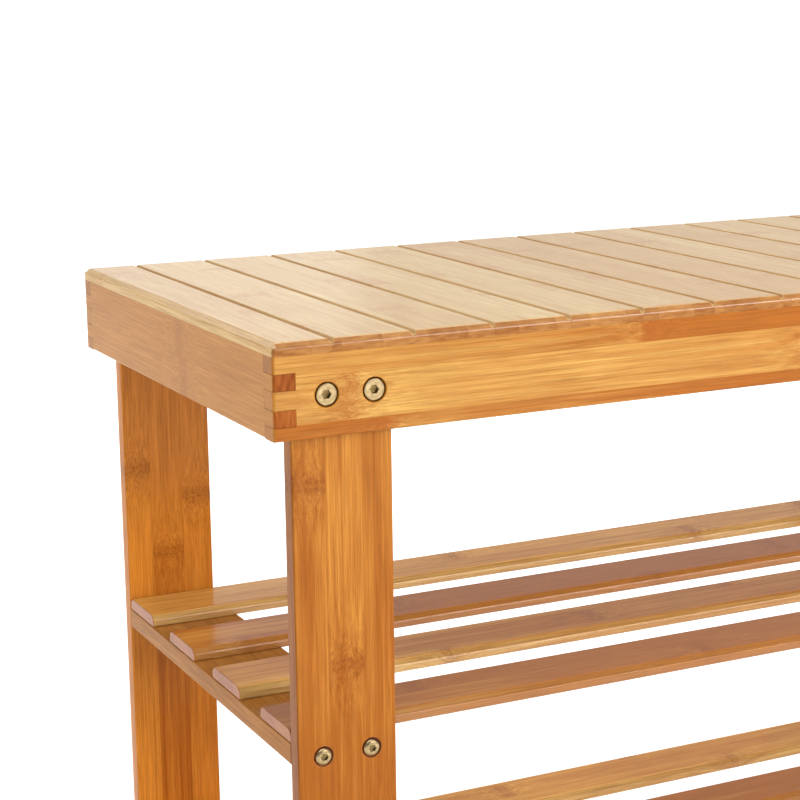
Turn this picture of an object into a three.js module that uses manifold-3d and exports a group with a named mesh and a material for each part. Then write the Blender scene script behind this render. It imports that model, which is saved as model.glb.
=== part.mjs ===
// Slatted bamboo shoe bench: a planked seat on a box-jointed frame, four board legs and two slatted
// shelves, held together by machine bolts. Millimetres, +Z up. The origin is on the floor under the
// middle of the bench, +X runs along its length and the front faces -Y.

import * as THREE from 'three';
import { mergeVertices } from 'three/addons/utils/BufferGeometryUtils.js';
import Module from 'manifold-3d';

const wasm = await Module();
wasm.setup();

// ---------------------------------------------------------------- driving dimensions

const LENGTH = 680;
const DEPTH = 280;
const HEIGHT = 450;
const FIT = 0.1; // glue line or seating gap left between two pieces that bear on each other

// Seat: narrow planks laid front to back over the frame.
const SEAT_THICKNESS = 6.2;
const END_STRIP_WIDTH = 29.6;
const PLANK_COUNT = 15;
const PLANK_PITCH = (LENGTH - 2 * END_STRIP_WIDTH) / PLANK_COUNT;
const GROOVE_WIDTH = 2;
const GROOVE_DEPTH = 1.2;
const TOP_EDGE_RADIUS = 3;
const LOWER_EDGE_RADIUS = 1;
const CORNER_RADIUS = 1.6;

// Frame under the planks: long aprons and end aprons meet in box joints.
const APRON_HEIGHT = 39;
const APRON_THICKNESS = 11;
const FINGER_HEIGHT = 7.8;
const FINGER_PITCH = 16.8;
const FIRST_FINGER_DROP = 7.9;
const FINGER_COUNT = 2;

// Legs: flat boards bolted behind the long aprons.
const LEG_WIDTH = 51.4;
const LEG_THICKNESS = 9.6;
const LEG_INSET = 12.6;
const LEG_EDGE_RADIUS = 1.2;
const LEG_TOP_GAP = 0.3;

// Shelves: end rails between the legs carry lengthwise slats.
const SHELF_TOPS = { upper: 258.8, lower: 99.5 };
const RAIL_THICKNESS = 10.7;
const RAIL_EDGE_RADIUS = 0.8;
const SLAT_COUNT = 4;
const SLAT_WIDTH = 39;
const SLAT_THICKNESS = 6.5;
const SLAT_EDGE_RADIUS = 2.4;
const SLAT_END_INSET = 0.3;

// Fasteners: flat-headed bolts sunk into the aprons, button-headed bolts half sunk into the legs.
const SEAT_BOLT = {
  headRadius: 5.2,
  headHeight: 3.4,
  headChamfer: 0.5,
  shankRadius: 3,
  shankLength: 15.2,
  socketAcross: 4,
  socketDepth: 2.2,
};
const SEAT_BOLT_SPACING = 23.9;
const SEAT_BOLT_DROP = 25.5;
const SEAT_BOLT_SINK = 0.4;
const SEAT_COUNTERBORE_RADIUS = 6.2;
const SHELF_BOLT = {
  headRadius: 4.5,
  headHeight: 2.6,
  shankRadius: 2.5,
  shankLength: 29.4,
  socketAcross: 3,
  socketDepth: 1.6,
};
const SHELF_BOLT_SPACING = 25.2;
const SHELF_BOLT_LIFT = 0.2;
const SHELF_BOLT_SINK = 1.6;
const SHELF_COUNTERBORE_RADIUS = 5.1;
const BOLT_CLEARANCE = 0.3;
const SHANK_TIP_CHAMFER = 0.6;
const SOCKET_RIM_WIDTH = 0.5;
const RAIL_HOLE_END_ROOM = 1;

// How finely curved surfaces are faceted.
const ROUND_SIDES = 12;
const EDGE_STEPS = 3;
const DOME_STEPS = 3;

// ---------------------------------------------------------------- values that follow

const OVERSIZE = 10;
const LEG_CENTRE_X = LENGTH / 2 - LEG_INSET - LEG_WIDTH / 2;
const LEG_FRONT = -DEPTH / 2 + APRON_THICKNESS + FIT;
const LEG_BACK = LEG_FRONT + LEG_THICKNESS;
const LEG_HEIGHT = HEIGHT - SEAT_THICKNESS - LEG_TOP_GAP;
const RAIL_LENGTH = -2 * (LEG_BACK + FIT);
const SLAT_LENGTH = LENGTH - 2 * (LEG_INSET + SLAT_END_INSET);
const SLAT_PITCH = (RAIL_LENGTH - SLAT_WIDTH) / (SLAT_COUNT - 1);
const SEAT_BOLT_Z = HEIGHT - SEAT_BOLT_DROP;

// ---------------------------------------------------------------- materials

function bamboo(name, color, roughness) {
  return new THREE.MeshStandardMaterial({ name, color, roughness, metalness: 0 });
}

const seatBamboo = bamboo('seat_bamboo', 0xe4c596, 0.38);
const frameBamboo = bamboo('frame_bamboo', 0xdb9a4d, 0.42);
const legBamboo = bamboo('leg_bamboo', 0xcf8f4c, 0.45);
const shelfBamboo = bamboo('shelf_bamboo', 0xc98c50, 0.42);
const zincSteel = new THREE.MeshStandardMaterial({
  name: 'zinc_steel',
  color: 0xc9bd94,
  roughness: 0.35,
  metalness: 1,
});

// ---------------------------------------------------------------- solids and meshes

// Welds a geometry's vertices, drops the faces that collapse on an axis and returns a solid.
function solidFrom(geometry) {
  const bare = geometry.clone();
  bare.deleteAttribute('normal');
  bare.deleteAttribute('uv');
  const welded = mergeVertices(bare);
  const corners = welded.index.array;
  const kept = [];
  for (let i = 0; i < corners.length; i += 3) {
    const [a, b, c] = [corners[i], corners[i + 1], corners[i + 2]];
    if (a !== b && b !== c && c !== a) {
      kept.push(a, b, c);
    }
  }
  return new wasm.Manifold(new wasm.Mesh({
    numProp: 3,
    vertProperties: welded.attributes.position.array,
    triVerts: new Uint32Array(kept),
  }));
}

function geometryFrom(solid) {
  const mesh = solid.getMesh();
  const geometry = new THREE.BufferGeometry();
  geometry.setAttribute('position', new THREE.BufferAttribute(mesh.vertProperties, 3));
  geometry.setIndex(new THREE.BufferAttribute(mesh.triVerts, 1));
  geometry.computeVertexNormals();
  return geometry;
}

function block(low, high) {
  const [sizeX, sizeY, sizeZ] = high.map((value, i) => value - low[i]);
  const [midX, midY, midZ] = high.map((value, i) => (value + low[i]) / 2);
  return solidFrom(new THREE.BoxGeometry(sizeX, sizeY, sizeZ).translate(midX, midY, midZ));
}

// A rectangle about the origin whose corners are rounded: first the two lower ones, then the upper.
function roundedRectangle(width, height, lowerRadius, upperRadius = lowerRadius) {
  const [x, y] = [width / 2, height / 2];
  const shape = new THREE.Shape();
  shape.absarc(x - lowerRadius, -y + lowerRadius, lowerRadius, -Math.PI / 2, 0);
  shape.absarc(x - upperRadius, y - upperRadius, upperRadius, 0, Math.PI / 2);
  shape.absarc(-x + upperRadius, y - upperRadius, upperRadius, Math.PI / 2, Math.PI);
  shape.absarc(-x + lowerRadius, -y + lowerRadius, lowerRadius, Math.PI, 1.5 * Math.PI);
  shape.closePath();
  return shape;
}

function extruded(shape, length) {
  const options = { depth: length, bevelEnabled: false, curveSegments: EDGE_STEPS };
  return new THREE.ExtrudeGeometry(shape, options).translate(0, 0, -length / 2);
}

// The same extrusion turned so that the shape stands upright and its length runs along X or Y.
function extrudedAlongX(shape, length) {
  return extruded(shape, length).rotateX(Math.PI / 2).rotateZ(Math.PI / 2);
}

function extrudedAlongY(shape, length) {
  return extruded(shape, length).rotateX(Math.PI / 2);
}

// A round cutter along Y between two depths.
function boreCutter(radius, x, z, fromY, toY) {
  const rod = new THREE.CylinderGeometry(radius, radius, toY - fromY, ROUND_SIDES);
  return solidFrom(rod.translate(x, (fromY + toY) / 2, z));
}

function addMesh(parent, name, geometry, material, position = [0, 0, 0], turn = 0) {
  const mesh = new THREE.Mesh(geometry, material);
  mesh.name = name;
  mesh.position.set(...position);
  mesh.rotation.z = turn;
  parent.add(mesh);
}

// ---------------------------------------------------------------- seat and its frame

// The outside of the whole seat, planks and aprons together, with every edge eased. Seat pieces are
// drawn with z = 0 at the sitting surface and trimmed to this body.
function seatOutline() {
  const height = SEAT_THICKNESS + APRON_HEIGHT;
  const side = roundedRectangle(DEPTH, height, LOWER_EDGE_RADIUS, TOP_EDGE_RADIUS);
  const front = roundedRectangle(LENGTH, height, LOWER_EDGE_RADIUS, TOP_EDGE_RADIUS);
  const plan = roundedRectangle(LENGTH, DEPTH, CORNER_RADIUS);
  return solidFrom(extrudedAlongX(side, LENGTH + OVERSIZE).translate(0, 0, -height / 2))
    .intersect(solidFrom(extrudedAlongY(front, DEPTH + OVERSIZE).translate(0, 0, -height / 2)))
    .intersect(solidFrom(extruded(plan, 2 * height)));
}

const seatBody = seatOutline();
const outerX = LENGTH / 2 + OVERSIZE;
const outerY = DEPTH / 2 + OVERSIZE;
const apronTop = -SEAT_THICKNESS - FIT;
const apronBottom = -SEAT_THICKNESS - APRON_HEIGHT;

// Half of the saw-cut groove runs along a plank's side at x.
function grooveCutter(x) {
  return block(
    [x - GROOVE_WIDTH / 2, -outerY, -GROOVE_DEPTH],
    [x + GROOVE_WIDTH / 2, outerY, OVERSIZE],
  );
}

function seatPlank() {
  const half = PLANK_PITCH / 2;
  return block([-half + FIT / 2, -outerY, -SEAT_THICKNESS], [half - FIT / 2, outerY, OVERSIZE])
    .subtract(grooveCutter(-half))
    .subtract(grooveCutter(half))
    .intersect(seatBody);
}

// The slots in a long apron's end, or with clearance 0 the fingers that fill them.
function fingers(lowX, highX, lowY, highY, clearance) {
  let joined = null;
  for (let i = 0; i < FINGER_COUNT; i += 1) {
    const top = -SEAT_THICKNESS - FIRST_FINGER_DROP - i * FINGER_PITCH;
    const finger = block(
      [lowX, lowY, top - FINGER_HEIGHT - clearance],
      [highX, highY, top + clearance],
    );
    joined = joined ? joined.add(finger) : finger;
  }
  return joined;
}

function seatBoltXs() {
  const offsets = [-SEAT_BOLT_SPACING / 2, SEAT_BOLT_SPACING / 2];
  return [-LEG_CENTRE_X, LEG_CENTRE_X].flatMap((centre) => offsets.map((x) => centre + x));
}

function longApron() {
  const face = -DEPTH / 2;
  const inner = face + APRON_THICKNESS;
  const slotDepth = LENGTH / 2 - APRON_THICKNESS - FIT;
  let apron = block([-outerX, -outerY, apronBottom - OVERSIZE], [outerX, inner, apronTop])
    .subtract(fingers(-outerX - 1, -slotDepth, -outerY - 1, inner + 1, FIT))
    .subtract(fingers(slotDepth, outerX + 1, -outerY - 1, inner + 1, FIT));
  const boreRadius = SEAT_BOLT.shankRadius + BOLT_CLEARANCE;
  const counterboreFloor = face + SEAT_BOLT_SINK + SEAT_BOLT.headHeight + FIT;
  for (const x of seatBoltXs()) {
    apron = apron
      .subtract(boreCutter(boreRadius, x, -SEAT_BOLT_DROP, face - 1, inner + 1))
      .subtract(boreCutter(SEAT_COUNTERBORE_RADIUS, x, -SEAT_BOLT_DROP, face - 1, counterboreFloor));
  }
  return apron.intersect(seatBody);
}

// An end apron with the seat's end strip glued on top of it.
function endApron() {
  const inner = -LENGTH / 2 + APRON_THICKNESS;
  const shoulderY = DEPTH / 2 - APRON_THICKNESS - FIT;
  const stripEdge = -LENGTH / 2 + END_STRIP_WIDTH;
  const board = block(
    [-outerX, -shoulderY, apronBottom - OVERSIZE],
    [inner, shoulderY, -SEAT_THICKNESS],
  );
  const strip = block([-outerX, -outerY, -SEAT_THICKNESS], [stripEdge - FIT / 2, outerY, OVERSIZE]);
  return board
    .add(fingers(-outerX, inner, -outerY, -shoulderY + 1, 0))
    .add(fingers(-outerX, inner, shoulderY - 1, outerY, 0))
    .add(strip.subtract(grooveCutter(stripEdge)))
    .intersect(seatBody);
}

function makeSeat() {
  const seat = new THREE.Group();
  seat.position.z = HEIGHT;
  const apron = geometryFrom(longApron());
  const end = geometryFrom(endApron());
  const plank = geometryFrom(seatPlank());
  addMesh(seat, 'apron_front', apron, frameBamboo);
  addMesh(seat, 'apron_rear', apron, frameBamboo, [0, 0, 0], Math.PI);
  addMesh(seat, 'end_apron_left', end, frameBamboo);
  addMesh(seat, 'end_apron_right', end, frameBamboo, [0, 0, 0], Math.PI);
  for (let i = 0; i < PLANK_COUNT; i += 1) {
    const name = `seat_plank_${String(i + 1).padStart(2, '0')}`;
    const x = (i - (PLANK_COUNT - 1) / 2) * PLANK_PITCH;
    addMesh(seat, name, plank, seatBamboo, [x, 0, 0]);
  }
  return seat;
}

// ---------------------------------------------------------------- legs and shelves

const ends = [['left', -1], ['right', 1]];
const faces = [['front', -1], ['rear', 1]];

// Pieces are drawn as they stand at the front, and turned half round to stand at the rear.
function turnFor(faceSign) {
  return faceSign < 0 ? 0 : Math.PI;
}

function railBottom(shelfTop) {
  return shelfTop - SLAT_THICKNESS - FIT - RAIL_THICKNESS;
}

function shelfBoltZ(shelfTop) {
  return railBottom(shelfTop) + RAIL_THICKNESS / 2 - SHELF_BOLT_LIFT;
}

// One leg about its own centre line, standing on z = 0, with its outer face towards -Y.
function legBoard() {
  const half = LEG_THICKNESS / 2;
  const outline = roundedRectangle(LEG_WIDTH, LEG_THICKNESS, LEG_EDGE_RADIUS);
  let leg = solidFrom(extruded(outline, LEG_HEIGHT).translate(0, 0, LEG_HEIGHT / 2));
  const rows = [
    { bolt: SEAT_BOLT, spacing: SEAT_BOLT_SPACING, z: SEAT_BOLT_Z },
    ...Object.values(SHELF_TOPS).map((top) => (
      { bolt: SHELF_BOLT, spacing: SHELF_BOLT_SPACING, z: shelfBoltZ(top) }
    )),
  ];
  for (const { bolt, spacing, z } of rows) {
    for (const x of [-spacing / 2, spacing / 2]) {
      leg = leg.subtract(boreCutter(bolt.shankRadius + BOLT_CLEARANCE, x, z, -half - 1, half + 1));
      if (bolt === SHELF_BOLT) {
        const floorY = -half + SHELF_BOLT_SINK + FIT;
        leg = leg.subtract(boreCutter(SHELF_COUNTERBORE_RADIUS, x, z, -half - 1, floorY));
      }
    }
  }
  return leg;
}

function makeLegs() {
  const legs = new THREE.Group();
  const leg = geometryFrom(legBoard());
  const y = LEG_BACK - LEG_THICKNESS / 2;
  for (const [face, faceSign] of faces) {
    for (const [end, endSign] of ends) {
      const position = [endSign * LEG_CENTRE_X, -faceSign * y, 0];
      addMesh(legs, `leg_${face}_${end}`, leg, legBamboo, position, turnFor(faceSign));
    }
  }
  return legs;
}

// One shelf rail about its own middle, with the bolt holes in both ends.
function shelfRail() {
  const outline = roundedRectangle(LEG_WIDTH, RAIL_THICKNESS, RAIL_EDGE_RADIUS);
  let rail = solidFrom(extrudedAlongY(outline, RAIL_LENGTH));
  const half = RAIL_LENGTH / 2;
  const reach = SHELF_BOLT_SINK + SHELF_BOLT.shankLength - LEG_THICKNESS + RAIL_HOLE_END_ROOM;
  const radius = SHELF_BOLT.shankRadius + BOLT_CLEARANCE;
  for (const x of [-SHELF_BOLT_SPACING / 2, SHELF_BOLT_SPACING / 2]) {
    rail = rail
      .subtract(boreCutter(radius, x, -SHELF_BOLT_LIFT, -half - 1, -half + reach))
      .subtract(boreCutter(radius, x, -SHELF_BOLT_LIFT, half - reach, half + 1));
  }
  return rail;
}

function makeShelves() {
  const shelves = new THREE.Group();
  const rail = geometryFrom(shelfRail());
  const slatOutline = roundedRectangle(SLAT_WIDTH, SLAT_THICKNESS, SLAT_EDGE_RADIUS);
  const slat = geometryFrom(solidFrom(extrudedAlongX(slatOutline, SLAT_LENGTH)));
  for (const [level, top] of Object.entries(SHELF_TOPS)) {
    const shelf = new THREE.Group();
    shelf.position.z = top;
    for (const [end, endSign] of ends) {
      const z = -SLAT_THICKNESS - FIT - RAIL_THICKNESS / 2;
      addMesh(shelf, `shelf_rail_${level}_${end}`, rail, shelfBamboo, [endSign * LEG_CENTRE_X, 0, z]);
    }
    for (let i = 0; i < SLAT_COUNT; i += 1) {
      const y = (i - (SLAT_COUNT - 1) / 2) * SLAT_PITCH;
      const position = [0, y, -SLAT_THICKNESS / 2];
      addMesh(shelf, `shelf_slat_${level}_${i + 1}`, slat, shelfBamboo, position);
    }
    shelves.add(shelf);
  }
  return shelves;
}

// ---------------------------------------------------------------- fasteners

// A bolt's outline from the middle of its head's outer face to its tip. The bolt lies along Y.
function boltProfile(bolt, headPoints) {
  const tipY = bolt.headHeight + bolt.shankLength;
  return [
    new THREE.Vector2(0, 0),
    ...headPoints,
    new THREE.Vector2(bolt.headRadius, bolt.headHeight),
    new THREE.Vector2(bolt.shankRadius, bolt.headHeight),
    new THREE.Vector2(bolt.shankRadius, tipY - SHANK_TIP_CHAMFER),
    new THREE.Vector2(bolt.shankRadius - SHANK_TIP_CHAMFER, tipY),
    new THREE.Vector2(0, tipY),
  ];
}

function flatHeadPoints(bolt) {
  return [
    new THREE.Vector2(bolt.headRadius - bolt.headChamfer, 0),
    new THREE.Vector2(bolt.headRadius, bolt.headChamfer),
  ];
}

// A quarter ellipse from the flat round the socket to the rim.
function buttonHeadPoints(bolt) {
  const flatRadius = bolt.socketAcross / 2 + SOCKET_RIM_WIDTH;
  const points = [];
  for (let i = 0; i < DOME_STEPS; i += 1) {
    const angle = (i / DOME_STEPS) * (Math.PI / 2);
    points.push(new THREE.Vector2(
      flatRadius + (bolt.headRadius - flatRadius) * Math.sin(angle),
      bolt.headHeight * (1 - Math.cos(angle)),
    ));
  }
  return points;
}

function boltGeometry(bolt, headPoints) {
  const lathe = new THREE.LatheGeometry(boltProfile(bolt, headPoints), ROUND_SIDES);
  const cornerRadius = bolt.socketAcross / Math.sqrt(3);
  const hexagon = new THREE.CylinderGeometry(cornerRadius, cornerRadius, 2 * bolt.socketDepth, 6);
  return geometryFrom(solidFrom(lathe).subtract(solidFrom(hexagon)));
}

function makeBolts() {
  const bolts = new THREE.Group();
  const seatBolt = boltGeometry(SEAT_BOLT, flatHeadPoints(SEAT_BOLT));
  const shelfBolt = boltGeometry(SHELF_BOLT, buttonHeadPoints(SHELF_BOLT));
  const sets = [
    {
      prefix: 'seat_bolt',
      geometry: seatBolt,
      spacing: SEAT_BOLT_SPACING,
      z: SEAT_BOLT_Z,
      headY: -DEPTH / 2 + SEAT_BOLT_SINK,
    },
    ...Object.entries(SHELF_TOPS).map(([level, top]) => ({
      prefix: `shelf_bolt_${level}`,
      geometry: shelfBolt,
      spacing: SHELF_BOLT_SPACING,
      z: shelfBoltZ(top),
      headY: LEG_FRONT + SHELF_BOLT_SINK - SHELF_BOLT.headHeight,
    })),
  ];
  for (const { prefix, geometry, spacing, z, headY } of sets) {
    for (const [face, faceSign] of faces) {
      for (const [end, endSign] of ends) {
        for (const [place, sign] of [['outer', 1], ['inner', -1]]) {
          const x = endSign * (LEG_CENTRE_X + sign * spacing / 2);
          const position = [x, -faceSign * headY, z];
          const name = `${prefix}_${face}_${end}_${place}`;
          addMesh(bolts, name, geometry, zincSteel, position, turnFor(faceSign));
        }
      }
    }
  }
  return bolts;
}

// ---------------------------------------------------------------- the bench

const bench = new THREE.Group();
bench.add(makeSeat(), makeLegs(), makeShelves(), makeBolts());

export default bench;
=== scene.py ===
"""Looks for the slatted bamboo shoe bench, built around its CAD frame. +Z up, -Y front."""
import math
import random

import bmesh
import bpy
from mathutils import Matrix, Vector


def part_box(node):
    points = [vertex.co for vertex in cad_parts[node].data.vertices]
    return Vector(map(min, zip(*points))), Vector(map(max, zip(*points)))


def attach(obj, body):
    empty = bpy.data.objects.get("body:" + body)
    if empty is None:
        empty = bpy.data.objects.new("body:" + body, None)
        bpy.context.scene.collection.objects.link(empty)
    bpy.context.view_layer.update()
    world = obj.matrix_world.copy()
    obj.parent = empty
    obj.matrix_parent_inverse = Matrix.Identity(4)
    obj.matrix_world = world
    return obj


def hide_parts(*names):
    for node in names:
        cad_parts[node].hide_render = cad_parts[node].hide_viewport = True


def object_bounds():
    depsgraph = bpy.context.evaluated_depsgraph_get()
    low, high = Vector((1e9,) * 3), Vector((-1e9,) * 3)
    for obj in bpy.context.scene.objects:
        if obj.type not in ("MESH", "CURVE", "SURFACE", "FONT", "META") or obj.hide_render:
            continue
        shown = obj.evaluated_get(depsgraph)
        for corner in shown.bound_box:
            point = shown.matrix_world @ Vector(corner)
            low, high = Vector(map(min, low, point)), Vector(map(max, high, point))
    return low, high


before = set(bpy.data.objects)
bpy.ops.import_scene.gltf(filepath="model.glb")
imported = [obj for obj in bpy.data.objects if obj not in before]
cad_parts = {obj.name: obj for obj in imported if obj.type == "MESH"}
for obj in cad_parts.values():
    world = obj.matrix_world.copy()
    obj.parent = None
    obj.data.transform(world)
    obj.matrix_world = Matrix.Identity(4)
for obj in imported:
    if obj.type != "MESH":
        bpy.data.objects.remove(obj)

cad_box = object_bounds()
scene = bpy.context.scene
MM = 0.001

# -------------------------------- sizes, in millimetres

LENGTH, DEPTH, HEIGHT = [(cad_box[1][i] - cad_box[0][i]) / MM for i in range(3)]

# Seat planks and the chamfer round the seat. Each arris of a chamfer is sanded to a narrow facet.
PLANK_COUNT = 15
SEAT_THICKNESS = 6.2
CHAMFER_INSET = 2.6
CHAMFER_DROP = 2.5
ARRIS_FACET = 0.45
ARRIS_RADIUS = 0.12
GROOVE_HALF = 1.5
GROOVE_DEPTH = 1.7
GROOVE_FLOOR_HALF = 0.3
GROOVE_SHOULDER = 0.45
CORNER_RADIUS = 1.6

# Aprons and their box joints.
APRON_THICKNESS = 11.0
APRON_HEIGHT = 39.0
LOWER_EDGE = 1.0
INNER_EDGE = 0.4
FINGER_COUNT = 2
FINGER_HEIGHT = 7.8
FINGER_PITCH = 16.8
FIRST_FINGER_DROP = 7.9
FINGER_GAP = 0.1
JOINT_GAP = 0.03

# Legs and shelves.
LEG_EDGE = 1.2
FOOT_EASE = 0.6
RAIL_EDGE = 0.9
RAIL_END_EASE = 0.2
SLAT_COUNT = 4
SLAT_CHAMFER_INSET = 2.4
SLAT_CHAMFER_DROP = 2.7
SLAT_SIDE_DROP = 5
SLAT_LOWER_EDGE = 0.8
SLAT_END_EASE = 0.35

# Fasteners and the holes they sit in.
SEAT_BORE = 6.0
SEAT_BORE_DEPTH = 3.9
SEAT_SHANK_HOLE = 3.3
SHELF_BORE = 5.1
SHELF_BORE_DEPTH = 1.7
SHELF_SHANK_HOLE = 2.8
PLAIN_HOLE_DEPTH = 0.5
BORE_MOUTH = 0.35
HOLE_OVERRUN = 2
LEG_HOLE_REACH = 14
SOCKET_CHAMFER = 0.25
SOCKET_POINT = 0.7
INSERT_RADIUS = 4.0
INSERT_LENGTH = 8.6
INSERT_FIT = 0.05
THREAD_PITCH = 1.0
THREAD_DEPTH = 0.35
SCREW_RADIUS = 3.1

ROUND_SEGMENTS = 48
SHARP_ANGLE = 32
MERGE_DISTANCE = 1e-6

# -------------------------------- how single pieces look

rng = random.Random(7)

# The first planks: how far their first strip is already cut off, the seed of the strips' tones,
# and their own tone. The planks after them draw theirs.
PLANK_LOOKS = (
    (15.8, 0.9, 0.0),
    (13.4, 0.28, -0.1),
    (7.1, 0.95, -0.15),
    (9.4, 0.5, -0.1),
    (12.0, 0.7, 0.2),
    (15.4, 0.3, 0.25),
    (15.1, 0.8, 0.35),
)

# A piece's look: seed and tone (above 0 is darker), fall (how much lighter it gets per 100 mm of
# length), contrast between strips, the width of a strip and how far the first is cut off (shift),
# and the nodes: the first strip's place (phase, in internodes), the step from strip to strip
# (stagger), and how that step grows (bend). Groove walls take a share of the cut ends' darker
# colour as painted shade in the grooves.
STRIP_WIDTH = 20.6
USUAL_LOOK = {
    "width": STRIP_WIDTH, "stagger": 0.38, "bend": 0.0, "contrast": 0.5, "tone": 0.0, "fall": 0.0,
    "groove_shade_share": 0.0, "bores": (),
}
# The legs' fall paints them darker towards their feet: painted shade for light that falls off
# downward. The rear-left leg's low tone paints it lighter, making up for the seat's shade on it.
LEG_LOOK = {"width": 18.8, "contrast": 0.15, "fall": 0.22}
LEG_LOOKS = {
    "leg_front_left": {"phase": 0.949, "stagger": 0.661, "shift": 2.1, "seed": 0.42, "tone": 0.95},
    "leg_rear_left": {
        "phase": 0.777, "stagger": -0.35, "bend": 0.157, "shift": 3.8, "seed": 0.16, "tone": 0.2,
        "fall": 0.24, "contrast": 0.6,
    },
    "leg_front_right": {"phase": 0.31, "stagger": 0.45, "shift": 1.0, "seed": 0.61, "tone": 0.85},
    "leg_rear_right": {"phase": 0.55, "stagger": 0.29, "shift": 3.0, "seed": 0.87, "tone": 0.5},
}
LONG_APRON_LOOK = {
    "seed": 0.46, "width": 22.2, "shift": 15.5, "phase": 0.714, "stagger": 0.098, "bend": -0.165,
    "contrast": 1.0, "fall": -0.147,
}
END_BOARD_LOOK = {"seed": 0.24, "contrast": 0.25, "phase": 0.953, "stagger": 0.02}
END_STRIP_LOOK = {"contrast": 0.15, "phase": 0.454, "tone": 0.15}
PLANK_LOOK = {"contrast": 0.35, "groove_shade_share": 0.3}
RAIL_LOOK = {"phase": 0.454, "stagger": 0.0}
# The slats are painted lighter at their left ends, which lie in the shade under the seat's end, and
# darker towards the right, where more light falls: painted light and shade.
SLAT_FALL = -0.1

# How dark each slat is, front to back.
SLAT_TONES = (0.35, -0.3, 0.22, -0.55)


# -------------------------------- outlines

def softened(points, radius, steps=4, closed=False):
    """The outline with each corner replaced by a short curve that starts a radius away from it."""
    made = []
    count = len(points)
    for i, corner in enumerate(points):
        if not closed and i in (0, count - 1):
            made.append(tuple(corner))
            continue
        corner = Vector(corner)
        before = Vector(points[i - 1]) - corner
        after = Vector(points[(i + 1) % count]) - corner
        start = corner + before.normalized() * min(radius, before.length / 2)
        end = corner + after.normalized() * min(radius, after.length / 2)
        for k in range(steps + 1):
            t = k / steps
            point = start * (1 - t) ** 2 + corner * 2 * t * (1 - t) + end * t ** 2
            made.append((point.x, point.y))
    return made


def chamfer_line(inset, drop):
    """A chamfer with its sanded arrises, from the upright face to the flat top: (inward, upward)."""
    sharp = [(0, -2 * drop), (0, -drop), (inset, 0), (2 * inset, 0)]
    faceted = softened(sharp, ARRIS_FACET, 1)
    return softened(faceted, ARRIS_RADIUS, 2)[1:-1]


def top_limit(distance, line):
    """Height of the chamfered surface at a distance in from the face."""
    if distance <= line[0][0]:
        return line[0][1]
    for (x0, z0), (x1, z1) in zip(line, line[1:]):
        if distance <= x1:
            return z0 + (z1 - z0) * (distance - x0) / (x1 - x0)
    return 0.0


def corner_inset(distance, radius=CORNER_RADIUS):
    """How far a rounded corner stands back, at a distance in from the other face."""
    if distance >= radius:
        return 0.0
    return radius - math.sqrt(radius ** 2 - (radius - distance) ** 2)


def corner_stations(radius=CORNER_RADIUS, steps=4):
    """Distances from a face at which a rounded corner's sections are taken."""
    return [radius * (1 - math.cos(math.pi / 2 * k / steps)) for k in range(steps + 1)]


# -------------------------------- solids

AXES = {"x": (1, 2, 0), "y": (0, 2, 1), "z": (0, 1, 2)}


def placed(axis, a, b, station):
    """A section's point (a, b) at its station along the axis, in metres."""
    first, second, along = AXES[axis]
    point = Vector((0, 0, 0))
    point[first], point[second], point[along] = a * MM, b * MM, station * MM
    return point


def loft(axis, sections):
    """A closed solid through sections, each a station and its ring of points."""
    bm = bmesh.new()
    rings = []
    for station, ring in sections:
        rings.append([bm.verts.new(placed(axis, a, b, station)) for a, b in ring])
    for low, high in zip(rings, rings[1:]):
        for i in range(len(low)):
            j = (i + 1) % len(low)
            bm.faces.new((low[i], low[j], high[j], high[i]))
    bm.faces.new(rings[0])
    bm.faces.new(rings[-1])
    bmesh.ops.remove_doubles(bm, verts=bm.verts, dist=MERGE_DISTANCE)
    bmesh.ops.dissolve_degenerate(bm, edges=bm.edges, dist=MERGE_DISTANCE)
    bmesh.ops.recalc_face_normals(bm, faces=bm.faces)
    return bm


def ring_point(radius, y, angle):
    """A point on a circle about the Y axis, in metres."""
    return radius * math.cos(angle) * MM, y * MM, radius * math.sin(angle) * MM


def lathe(profile, segments=ROUND_SEGMENTS):
    """A closed solid of revolution about Y from (radius, y) points that begin and end on the axis."""
    bm = bmesh.new()
    first = bm.verts.new((0, profile[0][1] * MM, 0))
    last = bm.verts.new((0, profile[-1][1] * MM, 0))
    rings = []
    for radius, y in profile[1:-1]:
        angles = [2 * math.pi * k / segments for k in range(segments)]
        rings.append([bm.verts.new(ring_point(radius, y, angle)) for angle in angles])
    for k in range(segments):
        n = (k + 1) % segments
        bm.faces.new((first, rings[0][k], rings[0][n]))
        bm.faces.new((last, rings[-1][n], rings[-1][k]))
        for low, high in zip(rings, rings[1:]):
            bm.faces.new((low[k], high[k], high[n], low[n]))
    bmesh.ops.recalc_face_normals(bm, faces=bm.faces)
    return bm


def moved(bm, place, turned=False):
    """The solid turned half round about Z if asked, then moved to a place in metres."""
    turn = Matrix.Rotation(math.pi, 4, "Z") if turned else Matrix.Identity(4)
    bm.transform(Matrix.Translation(place) @ turn)
    return bm


def merged(solids):
    """One bmesh that holds several separate solids."""
    whole = bmesh.new()
    for bm in solids:
        mesh = bpy.data.meshes.new("part")
        bm.to_mesh(mesh)
        bm.free()
        whole.from_mesh(mesh)
        bpy.data.meshes.remove(mesh)
    return whole


def linked(name, bm):
    """An object in the scene that holds the solid."""
    mesh = bpy.data.meshes.new(name)
    bm.to_mesh(mesh)
    bm.free()
    piece = bpy.data.objects.new(name, mesh)
    scene.collection.objects.link(piece)
    return piece


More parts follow.
